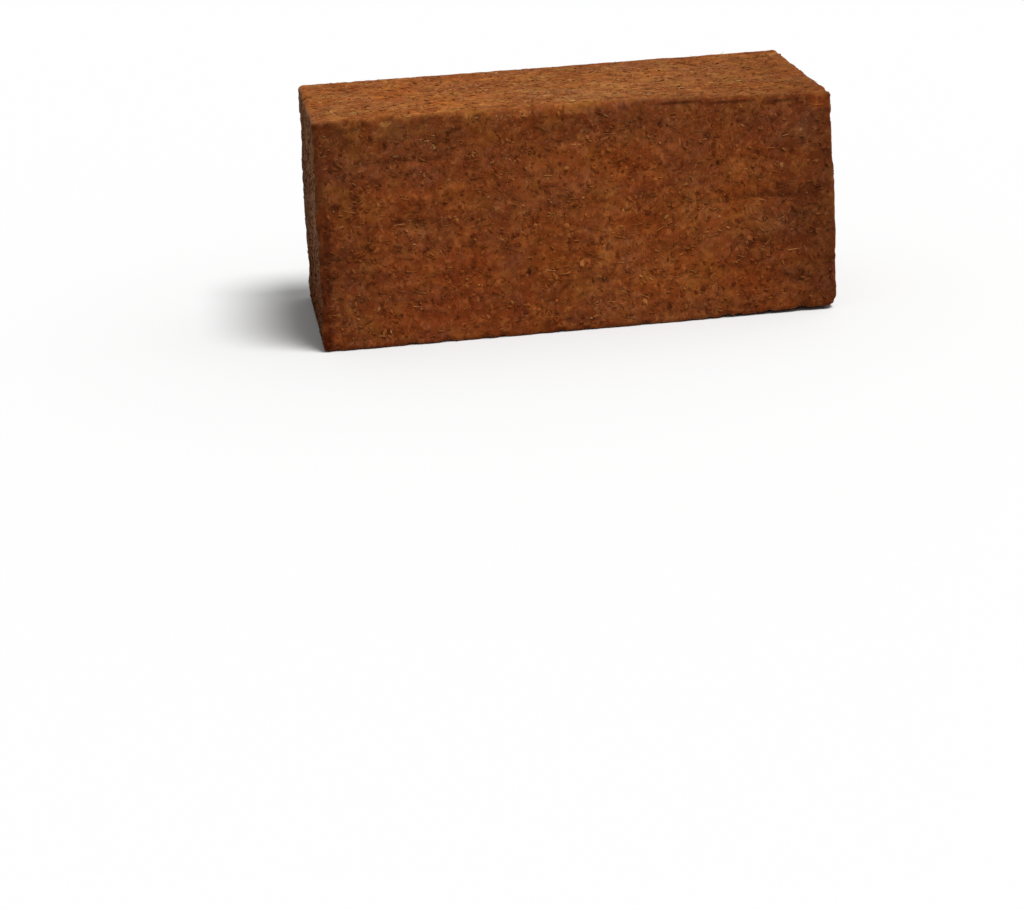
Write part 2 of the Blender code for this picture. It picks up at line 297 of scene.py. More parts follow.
def add(tree, kind, inputs=(), out=0, stops=(), **settings):
    """Adds a node with its settings and links, and gives one of its outputs, or all of them.

    Inputs go by number or name. Each is a value, a hex colour or the socket that it links from.
    Stops are a colour ramp's places and hex colours, the lowest and highest place first.
    A random value's inputs are 0 and 1 for a vector's least and most, 2 and 3 for a number's, 7
    for what it is drawn for and 8 for the seed. A mix has its share at 0, its colours at 6 and 7.
    """
    node = tree.nodes.new(kind)
    for name, value in settings.items():
        setattr(node, name, value)
    for key, value in inputs.items() if isinstance(inputs, dict) else enumerate(inputs):
        if isinstance(value, bpy.types.NodeSocket):
            tree.links.new(value, node.inputs[key])
        elif isinstance(value, str) and value.startswith("#"):
            node.inputs[key].default_value = linear(value)
        else:
            node.inputs[key].default_value = value
    for number, (place, colour) in enumerate(stops):
        elements = node.color_ramp.elements
        element = elements[number] if number < 2 else elements.new(place)
        element.position = place
        element.color = linear(colour)
    return node.outputs if out is None else node.outputs[out]


def growth_tree(name, sizes):
    """A geometry tree with a surface as its input and each size as a named input."""
    tree = bpy.data.node_groups.new(name, "GeometryNodeTree")
    tree.interface.new_socket("Surface", in_out="INPUT", socket_type="NodeSocketGeometry")
    for label in sizes:
        tree.interface.new_socket(label, in_out="INPUT", socket_type="NodeSocketFloat")
    tree.interface.new_socket("Geometry", in_out="OUTPUT", socket_type="NodeSocketGeometry")
    return tree, add(tree, "NodeGroupInput", out=None)


def finish_tree(tree, geometry, material, smooth=True):
    """Lifts what reaches below the floor up to it, and ends the tree in real mesh of one material."""
    place = add(tree, "GeometryNodeInputPosition")
    above = add(tree, "ShaderNodeVectorMath", (place, LEAST_PLACE), operation="MAXIMUM")
    settled = add(tree, "GeometryNodeSetPosition", {"Geometry": geometry, "Position": above})
    shaded = add(tree, "GeometryNodeSetShadeSmooth", {"Geometry": settled, "Shade Smooth": smooth})
    real = add(tree, "GeometryNodeRealizeInstances", {"Geometry": shaded})
    worn = add(tree, "GeometryNodeSetMaterial", {"Geometry": real, "Material": material})
    add(tree, "NodeGroupOutput", {"Geometry": worn}, out=None)
    return tree


def grown(name, tree, sizes, surface):
    """The plain mesh object that a tree makes of a surface, which is left as it is."""
    piece = bpy.data.objects.new(name, surface.copy())
    bpy.context.scene.collection.objects.link(piece)
    growth = piece.modifiers.new(name, "NODES")
    growth.node_group = tree
    for socket in tree.interface.items_tree:
        if socket.in_out == "INPUT" and socket.name in sizes:
            growth[socket.identifier] = sizes[socket.name]
    depsgraph = bpy.context.evaluated_depsgraph_get()
    mesh = bpy.data.meshes.new_from_object(piece.evaluated_get(depsgraph),
                                           preserve_all_data_layers=True, depsgraph=depsgraph)
    piece.modifiers.clear()
    piece.data = mesh
    mesh.name = name
    return piece


def noise_height(tree, place, size, height, start):
    """Soft noise as a height, about as far below nought as above it."""
    scale = add(tree, "ShaderNodeMath", (1.0, size), operation="DIVIDE")
    shifted = add(tree, "ShaderNodeVectorMath", (place, (start, start, start)), operation="ADD")
    rough = add(tree, "ShaderNodeTexNoise", {"Vector": shifted, "Scale": scale, "Detail": 1.0})
    centred = add(tree, "ShaderNodeMath", (rough, -0.5), operation="ADD")
    return add(tree, "ShaderNodeMath", (centred, height), operation="MULTIPLY")


def press_share(tree, size, way_out):
    """The share of its height that a thing keeps: all of it on a wall, and less on the two faces
    that the press held."""
    up = add(tree, "ShaderNodeSeparateXYZ", (way_out,), out="Z")
    level = add(tree, "ShaderNodeMath", (up,), operation="ABSOLUTE")
    low, high = PRESS_FACING
    return add(tree, "ShaderNodeMapRange", {"Value": level, "From Min": low, "From Max": high,
                                            "To Min": 1.0, "To Max": size["Press share"]})


def edge_share(tree, rises, least):
    """The share of its size that a thing keeps: all of it inside a face, and less on an edge."""
    rise = add(tree, "GeometryNodeInputNamedAttribute", {"Name": "rise"})
    low, high = rises
    return add(tree, "ShaderNodeMapRange", {"Value": rise, "From Min": low, "From Max": high,
                                            "To Min": 1.0, "To Max": least})


def unfolded_place(tree, place):
    """Where a corner of the skin lies on the sheet of its bake, each face of the block flat.

    A face of the mesh belongs to the side of the block that its middle is nearest to.
    """
    middle = add(tree, "GeometryNodeFieldOnDomain", (place,), data_type="FLOAT_VECTOR", domain="FACE")
    centred = add(tree, "ShaderNodeVectorMath", (middle, (0.0, 0.0, HALF_HEIGHT)), operation="SUBTRACT")
    spread = add(tree, "ShaderNodeVectorMath", (centred,), operation="ABSOLUTE")
    halves = (HALF_LENGTH, HALF_DEPTH, HALF_HEIGHT)
    beyond = add(tree, "ShaderNodeVectorMath", (spread, halves), operation="SUBTRACT")
    out = add(tree, "ShaderNodeSeparateXYZ", (beyond,), out=None)
    side = add(tree, "ShaderNodeSeparateXYZ", (centred,), out=None)
    at = add(tree, "ShaderNodeSeparateXYZ", (place,), out=None)
    most_x_z = add(tree, "ShaderNodeMath", (out["X"], out["Z"]), operation="MAXIMUM")
    is_wall = add(tree, "FunctionNodeCompare", {"A": out["Y"], "B": most_x_z}, operation="GREATER_THAN")
    is_flat = add(tree, "FunctionNodeCompare", {"A": out["Z"], "B": out["X"]}, operation="GREATER_THAN")
    sheets = []
    for way, across, up, first_row, start in (("Y", "X", "Z", 0, HALF_LENGTH),
                                              ("Z", "X", "Y", 2, HALF_LENGTH),
                                              ("X", "Y", "Z", 0, 2 * HALF_LENGTH + HALF_DEPTH)):
        far = add(tree, "ShaderNodeMath", (side[way], 0.0), operation="GREATER_THAN")
        row = add(tree, "ShaderNodeMath", (far, SHEET_ROW, first_row * SHEET_ROW),
                  operation="MULTIPLY_ADD")
        low = HALF_DEPTH if up == "Y" else 0.0
        lifted = add(tree, "ShaderNodeMath", (at[up], low + 0.5 * SHEET_GAP), operation="ADD")
        height = add(tree, "ShaderNodeMath", (lifted, row), operation="ADD")
        gap = SHEET_GAP if way != "X" else 3 * SHEET_GAP
        width = add(tree, "ShaderNodeMath", (at[across], start + gap), operation="ADD")
        sheets.append(add(tree, "ShaderNodeCombineXYZ", (width, height)))
    wall, flat, end = sheets
    flat_or_end = add(tree, "GeometryNodeSwitch", {"Switch": is_flat, "False": end, "True": flat},
                      input_type="VECTOR")
    chosen = add(tree, "GeometryNodeSwitch", {"Switch": is_wall, "False": flat_or_end, "True": wall},
                 input_type="VECTOR")
    return add(tree, "ShaderNodeVectorMath", {"Vector": chosen, "Scale": 1 / (SHEET_ROWS * SHEET_ROW)},
               operation="SCALE")


def skin_tree(material):
    """Raises clumps, rounded grains and grit on a surface, less on the faces that the press held,
    and draws the edges out until they are crisp.

    It keeps a measure in millimetres for the material: "relief" is how far the skin was raised.
    """
    tree, size = growth_tree("crumbly_skin", SKIN_SIZES)
    place = add(tree, "GeometryNodeInputPosition")
    normal = add(tree, "GeometryNodeInputNormal")
    clumps = noise_height(tree, place, size["Clump size"], size["Clump height"], CLUMP_START)
    grit = noise_height(tree, place, size["Grit size"], size["Grit height"], GRIT_START)
    scale = add(tree, "ShaderNodeMath", (1.0, size["Grain size"]), operation="DIVIDE")
    cells = add(tree, "ShaderNodeTexVoronoi", {"Vector": place, "Scale": scale, "Smoothness": DOME_BLEND},
                out="Distance", feature="SMOOTH_F1")
    domed = add(tree, "ShaderNodeMath", (DOME_REACH, cells), operation="SUBTRACT")
    grain = add(tree, "ShaderNodeMath", (domed, size["Grain height"]), operation="MULTIPLY")
    coarse = add(tree, "ShaderNodeMath", (clumps, grain), operation="ADD")
    height = add(tree, "ShaderNodeMath", (coarse, grit), operation="ADD")
    calmed = add(tree, "ShaderNodeMath", (height, edge_share(tree, SKIN_EDGE, size["Edge calm"])),
                 operation="MULTIPLY")
    raised = add(tree, "ShaderNodeMath", (calmed, press_share(tree, size, normal)), operation="MULTIPLY")
    relief = add(tree, "ShaderNodeMath", (raised, 1.0 / MM), operation="MULTIPLY")
    rise = add(tree, "GeometryNodeInputNamedAttribute", {"Name": "rise"})
    stands = add(tree, "ShaderNodeMath", (rise, MM), operation="MULTIPLY")
    over = add(tree, "ShaderNodeMath", (stands, size["Edge least"]), operation="SUBTRACT")
    edge = add(tree, "ShaderNodeMath", (over, 0.0), operation="MAXIMUM")
    pushed = add(tree, "ShaderNodeMath", (edge, size["Edge gain"], raised), operation="MULTIPLY_ADD")
    offset = add(tree, "ShaderNodeVectorMath", {"Vector": normal, "Scale": pushed}, operation="SCALE")
    kept = add(tree, "GeometryNodeStoreNamedAttribute",
               {"Geometry": size["Surface"], "Name": "relief", "Value": relief})
    unfolded = add(tree, "GeometryNodeStoreNamedAttribute",
                   {"Geometry": kept, "Name": BAKE_MAP, "Value": unfolded_place(tree, place)},
                   data_type="FLOAT2", domain="CORNER")
    moved = add(tree, "GeometryNodeSetPosition", {"Geometry": unfolded, "Offset": offset})
    return finish_tree(tree, moved, material)


def scattered(tree, size, seed):
    """Points strewn over the surface, more of them in some patches than in others."""
    place = add(tree, "GeometryNodeInputPosition")
    patches = noise_height(tree, place, size["Patch size"], PATCH_STRENGTH, PATCH_START)
    share = add(tree, "ShaderNodeMath", (patches, 1.0), operation="ADD")
    some = add(tree, "ShaderNodeMath", (share, LEAST_SHARE), operation="MAXIMUM")
    density = add(tree, "ShaderNodeMath", (some, size["Density"]), operation="MULTIPLY")
    return add(tree, "GeometryNodeDistributePointsOnFaces",
               {"Mesh": size["Surface"], "Density": density, "Seed": seed}, out=None)


def bake_cell(tree, index, count, along, across):
    """A place in the index's own small cell of the bake's map, by two shares of the cell."""
    full = add(tree, "ShaderNodeMath", (count, CELL_COLUMNS), operation="DIVIDE")
    rows = add(tree, "ShaderNodeMath", (full,), operation="CEIL")
    column = add(tree, "ShaderNodeMath", (index, CELL_COLUMNS), operation="MODULO")
    turn = add(tree, "ShaderNodeMath", (index, CELL_COLUMNS), operation="DIVIDE")
    row = add(tree, "ShaderNodeMath", (turn,), operation="FLOOR")
    ways = []
    for start, way, cells in ((column, along, CELL_COLUMNS), (row, across, rows)):
        inside = add(tree, "ShaderNodeMapRange", {"Value": way, "To Min": CELL_MARGIN,
                                                  "To Max": 1 - CELL_MARGIN})
        reached = add(tree, "ShaderNodeMath", (start, inside), operation="ADD")
        ways.append(add(tree, "ShaderNodeMath", (reached, cells), operation="DIVIDE"))
    return add(tree, "ShaderNodeCombineXYZ", ways)


def grain_tree(name, sizes, material, seed, flatness, lying):
    """Strews jagged grains over a surface, each turned by chance and sunk partly into it.

    Flatness is the least of a grain's thickness as a share of its size, and lying how far it
    may tip, as a share of a full turn.
    """
    tree, size = growth_tree(name, sizes)
    points = scattered(tree, size, seed)
    lump = add(tree, "GeometryNodeMeshIcoSphere", {"Radius": 0.5, "Subdivisions": 1})
    shape = add(tree, "GeometryNodeInputPosition")
    marked = add(tree, "GeometryNodeStoreNamedAttribute",
                 {"Geometry": lump, "Name": "shape", "Value": shape}, data_type="FLOAT_VECTOR")
    drawn = add(tree, "FunctionNodeRandomValue", {8: seed + 1}, out=1)
    small = add(tree, "ShaderNodeMath", (drawn, FEW_LARGE), operation="POWER")
    own = add(tree, "ShaderNodeMapRange", {"Value": small, "To Min": size["Least size"],
                                           "To Max": size["Most size"]})
    breadth = add(tree, "ShaderNodeMath", (own, edge_share(tree, GRAIN_EDGE, size["Edge share"])),
                  operation="MULTIPLY")
    squash = add(tree, "FunctionNodeRandomValue",
                 {0: (*LEAST_SHAPE, flatness), 1: (*MOST_SHAPE, flatness * MOST_THICKNESS), 8: seed + 2},
                 data_type="FLOAT_VECTOR")
    facing = add(tree, "GeometryNodeInputNamedAttribute", {"Name": "facing"}, data_type="FLOAT_VECTOR")
    standing = press_share(tree, size, facing)
    pressed = add(tree, "ShaderNodeCombineXYZ", (1.0, 1.0, standing))
    flattened = add(tree, "ShaderNodeVectorMath", (squash, pressed), operation="MULTIPLY")
    scale = add(tree, "ShaderNodeVectorMath", {"Vector": flattened, "Scale": breadth}, operation="SCALE")
    thrown = add(tree, "FunctionNodeRandomValue",
                 {0: (0.0, 0.0, 0.0), 1: (math.tau * lying, math.tau * lying, math.tau), 8: seed + 3},
                 data_type="FLOAT_VECTOR")
    tipping = add(tree, "ShaderNodeCombineXYZ", (standing, standing, 1.0))
    spin = add(tree, "ShaderNodeVectorMath", (thrown, tipping), operation="MULTIPLY")
    spun = add(tree, "FunctionNodeEulerToRotation", (spin,))
    turn = add(tree, "FunctionNodeRotateRotation", (points["Rotation"], spun), rotation_space="LOCAL")
    tint = add(tree, "FunctionNodeRandomValue", {8: seed + 4}, out=1)
    tinted = points["Points"]
    for label, value in (("tint", tint), ("breadth", breadth)):
        tinted = add(tree, "GeometryNodeStoreNamedAttribute",
                     {"Geometry": tinted, "Name": label, "Value": value})
    depth = add(tree, "ShaderNodeMath", (breadth, size["Sunk"]), operation="MULTIPLY")
    down = add(tree, "ShaderNodeMath", (depth, -1.0), operation="MULTIPLY")
    inwards = add(tree, "ShaderNodeVectorMath", {"Vector": points["Normal"], "Scale": down},
                  operation="SCALE")
    sunk = add(tree, "GeometryNodeSetPosition", {"Geometry": tinted, "Offset": inwards})
    strewn = add(tree, "GeometryNodeInstanceOnPoints",
                 {"Points": sunk, "Instance": marked, "Rotation": turn, "Scale": scale})
    real = add(tree, "GeometryNodeRealizeInstances", {"Geometry": strewn})
    own_breadth = add(tree, "GeometryNodeInputNamedAttribute", {"Name": "breadth"})
    reach = add(tree, "ShaderNodeMath", (own_breadth, size["Jag"]), operation="MULTIPLY")
    pushed = add(tree, "FunctionNodeRandomValue", {**EVERY_WAY, 8: seed + 5}, data_type="FLOAT_VECTOR")
    jag = add(tree, "ShaderNodeVectorMath", {"Vector": pushed, "Scale": reach}, operation="SCALE")
    jagged = add(tree, "GeometryNodeSetPosition", {"Geometry": real, "Offset": jag})
    kept_shape = add(tree, "GeometryNodeInputNamedAttribute", {"Name": "shape"}, data_type="FLOAT_VECTOR")
    local = add(tree, "ShaderNodeSeparateXYZ", (kept_shape,), out=None)
    ways = [add(tree, "ShaderNodeMath", (local[axis], 0.5), operation="ADD") for axis in ("X", "Y")]
    island = add(tree, "GeometryNodeInputMeshIsland", out=None)
    cell = bake_cell(tree, island["Island Index"], island["Island Count"], *ways)
    mapped = add(tree, "GeometryNodeStoreNamedAttribute",
                 {"Geometry": jagged, "Name": BAKE_MAP, "Value": cell}, data_type="FLOAT2", domain="CORNER")
    return finish_tree(tree, mapped, material, smooth=False)


def towards_tips(tree):
    """Nought over most of a strand's length, and one at each tip."""
    along = add(tree, "GeometryNodeSplineParameter", out="Factor")
    centred = add(tree, "ShaderNodeMath", (along, 2.0, -1.0), operation="MULTIPLY_ADD")
    return add(tree, "ShaderNodeMath", (centred, TIP_POWER), operation="POWER")


def strand_mesh(tree, size, curves, place, spline, seed, material):
    """Turns curves into thin closed strands that thin out towards their tips."""
    along = add(tree, "GeometryNodeSplineParameter", out="Factor")
    marked = add(tree, "GeometryNodeSetPosition", {"Geometry": curves, "Position": place})
    tint = add(tree, "FunctionNodeRandomValue", {7: spline, 8: seed + 6}, out=1)
    for label, value in (("tint", tint), ("along", along), ("strand", spline)):
        marked = add(tree, "GeometryNodeStoreNamedAttribute",
                     {"Geometry": marked, "Name": label, "Value": value})
    ring = add(tree, "GeometryNodeCurvePrimitiveCircle", {"Resolution": STRAND_SIDES, "Radius": 0.5})
    corner = add(tree, "ShaderNodeMath", (add(tree, "GeometryNodeInputIndex"), 1 / (STRAND_SIDES - 1)),
                 operation="MULTIPLY")
    ringed = add(tree, "GeometryNodeStoreNamedAttribute",
                 {"Geometry": ring, "Name": "around", "Value": corner})
    thin = add(tree, "ShaderNodeMath", (towards_tips(tree), -TIP_THINNING, 1.0),
               operation="MULTIPLY_ADD")
    width = add(tree, "FunctionNodeRandomValue",
                {2: size["Least width"], 3: size["Most width"], 7: spline, 8: seed + 7}, out=1)
    scale = add(tree, "ShaderNodeMath", (width, thin), operation="MULTIPLY")
    mesh = add(tree, "GeometryNodeCurveToMesh", {"Curve": marked, "Profile Curve": ringed, "Scale": scale,
                                                 "Fill Caps": True})
    count = add(tree, "GeometryNodeAttributeDomainSize", {"Geometry": curves}, out="Spline Count",
                component="CURVE")
    strand, way_along, way_round = [add(tree, "GeometryNodeInputNamedAttribute", {"Name": label})
                                    for label in ("strand", "along", "around")]
    cell = bake_cell(tree, strand, count, way_along, way_round)
    mapped = add(tree, "GeometryNodeStoreNamedAttribute",
                 {"Geometry": mesh, "Name": BAKE_MAP, "Value": cell}, data_type="FLOAT2", domain="CORNER")
    return finish_tree(tree, mapped, material)


def lines_on(tree, size, points, normal, direction, seed, count):
    """A straight line of points at each scattered point, square to its normal."""
    upright = add(tree, "FunctionNodeAxesToRotation", (normal, direction), primary_axis="Z",
                  secondary_axis="X")
    line = add(tree, "GeometryNodeCurvePrimitiveLine", {"Start": (-0.5, 0.0, 0.0), "End": (0.5, 0.0, 0.0)})
    many = add(tree, "GeometryNodeResampleCurve", {"Curve": line, "Count": count})
    length = add(tree, "FunctionNodeRandomValue",
                 {2: size["Least length"], 3: size["Most length"], 8: seed + 1}, out=1)
    laid = add(tree, "GeometryNodeInstanceOnPoints", {"Points": points, "Instance": many,
                                                      "Rotation": upright, "Scale": length})
    return add(tree, "GeometryNodeRealizeInstances", {"Geometry": laid})


def bent_places(tree, size, spline, ripple):
    """The strands' points, pushed to the side by noise that differs from strand to strand."""
    place = add(tree, "GeometryNodeInputPosition")
    far = add(tree, "ShaderNodeMath", (spline, STRAND_DRIFT), operation="MULTIPLY")
    drift = add(tree, "ShaderNodeTexNoise", {"Vector": place, "W": far, "Scale": 1.0 / ripple,
                                             "Detail": 0.0}, out="Color", noise_dimensions="4D")
    centred = add(tree, "ShaderNodeVectorMath", (drift, (-0.5, -0.5, -0.5)), operation="ADD")
    bend = add(tree, "ShaderNodeVectorMath", {"Vector": centred, "Scale": size["Bend"]}, operation="SCALE")
    return add(tree, "ShaderNodeVectorMath", (place, bend), operation="ADD")


def pressed_strand_tree(name, sizes, material, seed, count):
    """Lays short strands flat on a surface, bent by chance, with tips that dip into it."""
    tree, size = growth_tree(name, sizes)
    points = scattered(tree, size, seed)
    free = add(tree, "FunctionNodeRandomValue", {**EVERY_WAY, 8: seed + 2}, data_type="FLOAT_VECTOR")
    flattening = add(tree, "ShaderNodeCombineXYZ", (1.0, 1.0, size["Levelled"]))
    levelled = add(tree, "ShaderNodeVectorMath", (free, flattening), operation="MULTIPLY")
    curves = lines_on(tree, size, points["Points"], points["Normal"], levelled, seed, count)
    spline = add(tree, "GeometryNodeCurveOfPoint", out="Curve Index")
    bent = bent_places(tree, size, spline, PRESSED_RIPPLE)
    nearest = add(tree, "GeometryNodeProximity", {"Geometry": size["Surface"], "Sample Position": bent})
    normal = add(tree, "GeometryNodeSampleNearestSurface",
                 {"Mesh": size["Surface"], "Value": add(tree, "GeometryNodeInputNormal"),
                  "Sample Position": bent}, data_type="FLOAT_VECTOR")
    lift = add(tree, "FunctionNodeRandomValue",
               {2: size["Least rise"], 3: size["Most rise"], 7: spline, 8: seed + 3}, out=1)
    height = add(tree, "ShaderNodeMath", (towards_tips(tree), -TIP_DIP, lift), operation="MULTIPLY_ADD")
    raised = add(tree, "ShaderNodeVectorMath", {"Vector": normal, "Scale": height}, operation="SCALE")
    final = add(tree, "ShaderNodeVectorMath", (nearest, raised), operation="ADD")
    return strand_mesh(tree, size, curves, final, spline, seed, material)


def loose_end_tree(name, sizes, material, seed, count):
    """Lets thin fibre ends stand out of the surface where it is an edge."""
    tree, size = growth_tree(name, sizes)
    rise = add(tree, "GeometryNodeInputNamedAttribute", {"Name": "rise"})
    edge = add(tree, "FunctionNodeCompare", {"A": rise, "B": size["Edge"]}, operation="GREATER_THAN")
    points = add(tree, "GeometryNodeDistributePointsOnFaces",
                 {"Mesh": size["Surface"], "Selection": edge, "Density": size["Density"], "Seed": seed},
                 out=None)
    rooted = add(tree, "GeometryNodeStoreNamedAttribute",
                 {"Geometry": points["Points"], "Name": "outwards", "Value": points["Normal"]},
                 data_type="FLOAT_VECTOR")
    free = add(tree, "FunctionNodeRandomValue", {**EVERY_WAY, 8: seed + 2}, data_type="FLOAT_VECTOR")
    curves = lines_on(tree, size, rooted, points["Normal"], free, seed, count)
    spline = add(tree, "GeometryNodeCurveOfPoint", out="Curve Index")
    bent = bent_places(tree, size, spline, LOOSE_RIPPLE)
    along = add(tree, "GeometryNodeSplineParameter", out="Factor")
    outwards = add(tree, "GeometryNodeInputNamedAttribute", {"Name": "outwards"}, data_type="FLOAT_VECTOR")
    reach = add(tree, "FunctionNodeRandomValue",
                {2: size["Least reach"], 3: size["Most reach"], 7: spline, 8: seed + 3}, out=1)
    climb = add(tree, "ShaderNodeMath", (along, reach, -TIP_DIP), operation="MULTIPLY_ADD")
    raised = add(tree, "ShaderNodeVectorMath", {"Vector": outwards, "Scale": climb}, operation="SCALE")
    final = add(tree, "ShaderNodeVectorMath", (bent, raised), operation="ADD")
    return strand_mesh(tree, size, curves, final, spline, seed, material)


def edge_measure_tree():
    """Keeps two measures on a surface: "rise", how far in millimetres a place stands out of the
    block round it, so it is high on edges and low in pits and seams, and "facing", its way out."""
    tree, size = growth_tree("edge_measure", ())
    place = add(tree, "GeometryNodeInputPosition")
    even = add(tree, "GeometryNodeBlurAttribute", {"Value": place, "Iterations": EVENING_STEPS},
               data_type="FLOAT_VECTOR")
    out_of_even = add(tree, "ShaderNodeVectorMath", (place, even), operation="SUBTRACT")
    normal = add(tree, "GeometryNodeInputNormal")
    stands = add(tree, "ShaderNodeVectorMath", (out_of_even, normal), out=1, operation="DOT_PRODUCT")
    rise = add(tree, "ShaderNodeMath", (stands, 1.0 / MM), operation="MULTIPLY")
    risen = add(tree, "GeometryNodeStoreNamedAttribute",
                {"Geometry": size["Surface"], "Name": "rise", "Value": rise})
    faced = add(tree, "GeometryNodeStoreNamedAttribute",
                {"Geometry": risen, "Name": "facing", "Value": normal}, data_type="FLOAT_VECTOR")
    add(tree, "NodeGroupOutput", {"Geometry": faced}, out=None)
    return tree


def block_surface():
    """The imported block's surface as one mesh of even cells, with its rise measured."""
    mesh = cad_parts[BLOCK].data.copy()
    work = bmesh.new()
    work.from_mesh(mesh)
    bmesh.ops.remove_doubles(work, verts=work.verts, dist=WELD)
    work.to_mesh(mesh)
    work.free()
    block = bpy.data.objects.new("block_surface", mesh)
    bpy.context.scene.collection.objects.link(block)
    even = block.modifiers.new("even", "REMESH")
    even.mode = "VOXEL"
    even.voxel_size = SKIN_CELL
    measured = block.modifiers.new("measured", "NODES")
    measured.node_group = edge_measure_tree()
    depsgraph = bpy.context.evaluated_depsgraph_get()
    surface = bpy.data.meshes.new_from_object(block.evaluated_get(depsgraph),
                                              preserve_all_data_layers=True, depsgraph=depsgraph)
    bpy.data.objects.remove(block)
    return surface


def new_material(name, roughness):
    """A dull, dry material with its shader, its tree and its coordinates."""
    material = bpy.data.materials.new(name)
    material.use_nodes = True
    tree = material.node_tree
    shader = tree.nodes["Principled BSDF"]
    shader.inputs["Roughness"].default_value = roughness
    shader.inputs["Specular IOR Level"].default_value = DRY_SPECULAR
    shader.inputs["Diffuse Roughness"].default_value = DRY_DIFFUSE_ROUGHNESS
    return material, tree, shader, add(tree, "ShaderNodeTexCoord", out=None)


def layered(tree, colour, layers):
    """A colour with layers laid over it, each a share, a tone and how they mix."""
    for share, tone, how in layers:
        colour = add(tree, "ShaderNodeMix", {0: share, 6: colour, 7: tone}, out=2, data_type="RGBA",
                     blend_type=how)
    return colour


def facing_parts(tree):
    """The way out of the surface below, apart from its relief, as X, Y and Z."""
    facing = add(tree, "ShaderNodeAttribute", out="Vector", attribute_name="facing")
    return add(tree, "ShaderNodeSeparateXYZ", (facing,), out=None)


def tone_layers(tree, tones, measures):
    """Layers of tone, each brought out by one of the named measures."""
    layers = []
    for label, start, full, most, tone in tones:
        share = add(tree, "ShaderNodeMapRange", {"Value": measures[label], "From Min": start,
                                                 "From Max": full, "To Max": most})
        layers.append((share, tone, "MIX"))
    return layers


def broad_shifts(tree, place):
    """Layers for the block's broad shifts of shade: the dried-out, dusty top with painted light, the greyer
    ends, the patches of pith, and the shifts of the walls and of the top, among them painted shade and
    highlights.

    The pieces that lie on the skin take the same layers, so that they stay near its shade.
    """
    facing = facing_parts(tree)
    endways = add(tree, "ShaderNodeMath", (facing["X"],), operation="ABSOLUTE")
    on_top, on_end = [add(tree, "ShaderNodeMapRange", {"Value": value, "From Min": low, "From Max": high})
                      for value, (low, high) in ((facing["Z"], TOP_FACING), (endways, END_FACING))]
    on_wall = add(tree, "ShaderNodeMath", (1.0, on_top), operation="SUBTRACT")
    # The top's gain is dried pith and dust with painted light; the ends' gain greys them
    layers = [(on_top, (*TOP_DUST_AND_PAINTED_LIGHT, 1.0), "MULTIPLY"), (on_end, (*GREYER_ENDS, 1.0), "MULTIPLY")]
    for reach, start, full, gain in PATCHES:
        laid = add(tree, "ShaderNodeMapping", {"Vector": place, "Scale": in_metres(reach)},
                   vector_type="TEXTURE")
        patch = add(tree, "ShaderNodeTexNoise", {"Vector": laid, "Scale": 1.0, "Detail": 3.0,
                                                 "Roughness": 0.6})
        share = add(tree, "ShaderNodeMapRange", {"Value": patch, "From Min": start, "From Max": full})
        layers.append((share, (*gain, 1.0), "MULTIPLY"))
    uneven = add(tree, "ShaderNodeTexNoise", {"Vector": place, "Scale": 1 / UNEVEN_SIZE, "Detail": 2.0})
    gone, full = SHIFT_FADE
    for side, shifts in ((on_wall, WALL_SHIFTS), (on_top, TOP_SHIFTS)):
        for centre, reach, gain in shifts:
            from_centre = add(tree, "ShaderNodeMapping",
                              {"Vector": place, "Location": in_metres(centre), "Scale": in_metres(reach)},
                              vector_type="TEXTURE")
            far = add(tree, "ShaderNodeVectorMath", (from_centre,), out="Value", operation="LENGTH")
            ragged = add(tree, "ShaderNodeMath", (uneven, SHIFT_RAGGED, far), operation="MULTIPLY_ADD")
            near = add(tree, "ShaderNodeMapRange", {"Value": ragged, "From Min": gone, "From Max": full},
                       interpolation_type="SMOOTHSTEP")
            share = add(tree, "ShaderNodeMath", (near, side), operation="MULTIPLY")
            layers.append((share, (*gain, 1.0), "MULTIPLY"))
    return layers


def felt_layers(tree, place):
    """Layers for the shreds that the eye sees in the pith, lot by lot, and how far any shows."""
    warp = add(tree, "ShaderNodeTexNoise", {"Vector": place, "Scale": 1 / WARP_SIZE, "Detail": 1.0},
               out="Color")
    wobble = add(tree, "ShaderNodeVectorMath", {"Vector": warp, "Scale": WARP_REACH}, operation="SCALE")
    warped = add(tree, "ShaderNodeVectorMath", (place, wobble), operation="ADD")
    layers = []
    felt = 0.0
    gone, full = FELT_FADE
    for turn, length, width in FELT:
        laid = add(tree, "ShaderNodeMapping",
                   {"Vector": warped, "Rotation": [math.radians(value) for value in turn],
                    "Scale": (length, width, width)}, vector_type="TEXTURE")
        cells = add(tree, "ShaderNodeTexVoronoi", {"Vector": laid, "Scale": 1.0}, out=None)
        shown = add(tree, "ShaderNodeMapRange", {"Value": cells["Distance"], "From Min": gone,
                                                 "From Max": full})
        own = add(tree, "ShaderNodeSeparateColor", (cells["Color"],), out=None)
        strong = add(tree, "ShaderNodeMapRange", {"Value": own["Red"], "From Min": FELT_LEAST,
                                                  "To Max": FELT_MOST})
        share = add(tree, "ShaderNodeMath", (shown, strong), operation="MULTIPLY")
        tone = add(tree, "ShaderNodeValToRGB", (own["Green"],), stops=FELT_STOPS)
        layers.append((share, tone, "MIX"))
        felt = add(tree, "ShaderNodeMath", (share, felt), operation="MAXIMUM")
    return layers, felt


